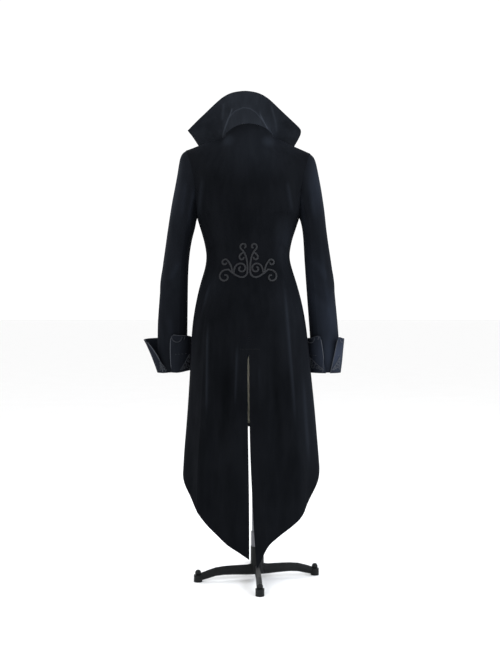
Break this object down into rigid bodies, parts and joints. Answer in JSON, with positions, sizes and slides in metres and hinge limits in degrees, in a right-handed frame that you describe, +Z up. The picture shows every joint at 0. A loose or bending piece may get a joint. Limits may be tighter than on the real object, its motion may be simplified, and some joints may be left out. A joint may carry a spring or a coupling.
{
  "type": "gothic velvet tailcoat on a dress form stand",
  "caption": "Fitted velvet tailcoat with high wing collar, turned-back cuffs and scroll braid, worn by a limbless dress form on a pole stand.",
  "frame": {"origin": "middle of the bounding box, on the floor under the four feet", "axes": "+Z up, the back of the coat faces -Y, +X to the right of someone who looks at the back"},
  "size_m": [0.6176, 0.3858, 1.4426],
  "materials": {
    "velvet": "black cotton velvet",
    "cuff_velvet": "black velvet with a faint sheen",
    "braid": "dull grey woven braid",
    "button": "dark satin",
    "form_cover": "beige jersey cover",
    "dark_trim": "black painted",
    "steel": "brushed",
    "cast_iron": "dark enamel"
  },
  "bodies": {
    "root": {"back_left": "velvet", "back_right": "velvet", "side_body_left": "velvet", "side_body_right": "velvet", "front_left": "velvet", "front_right": "velvet", "sleeve_upper_left": "velvet", "sleeve_upper_right": "velvet", "sleeve_under_left": "velvet", "sleeve_under_right": "velvet", "cuff_left": "cuff_velvet", "cuff_right": "cuff_velvet", "collar": "velvet", "scroll_left": "braid", "scroll_right": "braid", "button_1": "button", "button_2": "button", "button_3": "button", "button_4": "button", "button_5": "button", "dress_form": "form_cover", "neck_cap": "dark_trim", "form_base": "dark_trim", "pole": "steel", "ferrule": "steel", "stand_base": "cast_iron"}
  },
  "joints": []
}
